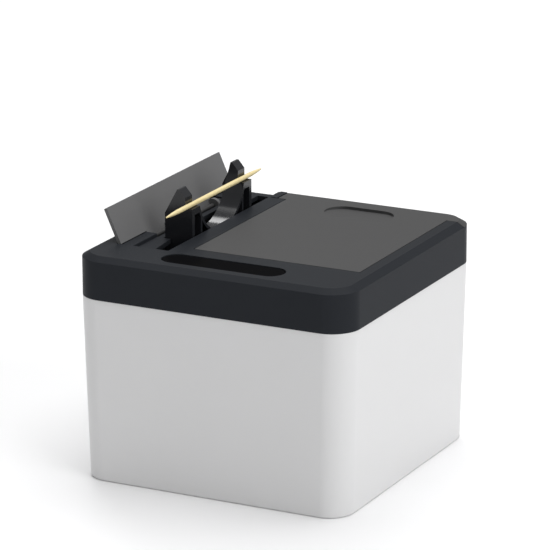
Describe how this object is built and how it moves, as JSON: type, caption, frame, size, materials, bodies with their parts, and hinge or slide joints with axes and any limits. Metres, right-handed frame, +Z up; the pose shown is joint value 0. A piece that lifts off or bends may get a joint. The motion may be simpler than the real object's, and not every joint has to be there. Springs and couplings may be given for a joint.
{
  "type": "toothpick dispenser",
  "caption": "Square table-top toothpick dispenser: a sensor window starts a motor that raises a forked lift with a toothpick while a flap swings open; sliding hopper lid.",
  "frame": {"origin": "centre of the underside, on the surface that the dispenser stands on", "axes": "+Z up, -Y towards the front with the sensor window, +X to the right as seen from the front; the slot and flap are on the left"},
  "size_m": [0.095, 0.0954, 0.0884],
  "materials": {
    "white_shell": "fine satin moulded white",
    "charcoal_cap": "fine matt moulded charcoal",
    "charcoal_fork": "satin moulded charcoal",
    "grey_cover": "fine matt moulded mid grey",
    "black_window": "polished black, passes infrared",
    "cell_jacket": "bare dark sleeve",
    "plated_spring": "plated",
    "steel": "plain steel",
    "inner_plastic": "plain moulded grey",
    "nylon": "natural nylon",
    "gearbox_plastic": "moulded black",
    "brass": "turned",
    "circuit_board": "green solder mask",
    "clear_dome": "clear",
    "dark_dome": "dark filter",
    "black_part": "moulded black",
    "capacitor_can": "drawn can",
    "connector": "cream nylon",
    "wood": "plain beech"
  },
  "bodies": {
    "housing": {"body_shell": "white_shell", "battery_cell_front": "cell_jacket", "battery_cell_rear": "cell_jacket", "contact_springs": "plated_spring", "contact_plates": "plated_spring", "body_screws": "steel", "chassis": "inner_plastic", "cap_screws": "steel", "hopper_tray": "inner_plastic", "tray_screws": "steel", "toothpick_stack": "wood", "cap_frame": "charcoal_cap", "slider_bracket": "inner_plastic", "lift_guide_front": "nylon", "lift_guide_rear": "nylon", "shaft_bush": "brass", "gearbox": "gearbox_plastic", "motor_can": "steel", "motor_end_cap": "gearbox_plastic", "motor_bracket": "inner_plastic", "mechanism_screws": "steel", "sensor_window": "black_window", "sensor_board": "circuit_board", "light_emitter": "clear_dome", "light_receiver": "dark_dome", "window_screws": "steel", "control_board": "circuit_board", "control_chip": "black_part", "capacitor": "capacitor_can", "board_connectors": "connector", "board_screws": "steel", "position_board": "circuit_board", "position_gates": "black_part"},
    "fork": {"lift_fork": "charcoal_fork", "lift_rack": "nylon"},
    "pinion": {"drive_pinion": "nylon", "output_shaft": "steel"},
    "slider": {"flap_slider": "nylon"},
    "flap": {"flap": "grey_cover", "flap_pin": "grey_cover", "flap_gear": "nylon"},
    "lid": {"hopper_lid": "grey_cover"},
    "door": {"battery_door": "white_shell"},
    "toothpick": {"lifted_toothpick": "wood"}
  },
  "joints": [
    {"name": "fork_lift", "type": "slide", "parent": "housing", "child": "fork", "axis": [0, 0, 1], "range_m": [-0.03, 0]},
    {"name": "pinion_spin", "type": "hinge", "parent": "housing", "child": "pinion", "pos_m": [-0.038, -0.0045, 0.0386], "axis": [0, -1, 0], "range_deg": [-358.2, 0]},
    {"name": "flap_slide", "type": "slide", "parent": "housing", "child": "slider", "axis": [1, 0, 0], "range_m": [-0.0042, 0]},
    {"name": "flap_hinge", "type": "hinge", "parent": "housing", "child": "flap", "pos_m": [-0.03724, 0.0073, 0.07146], "axis": [0, -1, 0], "range_deg": [-114.31, 0]},
    {"name": "lid_slide", "type": "slide", "parent": "housing", "child": "lid", "axis": [0, 1, 0], "range_m": [0, 0.0525]},
    {"name": "door_hinge", "type": "hinge", "parent": "housing", "child": "door", "pos_m": [0.0351, 0.01735, 0.0026], "axis": [0, -1, 0], "range_deg": [0, 60]},
    {"name": "toothpick_lift_off", "type": "slide", "parent": "fork", "child": "toothpick", "axis": [0, 0, 1], "range_m": [0, 0.03]}
  ],
  "couplings": [
    {"joint": "pinion_spin", "follows": "fork_lift", "rad_per_m": 208.33},
    {"joint": "flap_slide", "follows": "fork_lift", "ratio": 0.13964},
    {"joint": "flap_hinge", "follows": "fork_lift", "rad_per_m": 66.497}
  ]
}
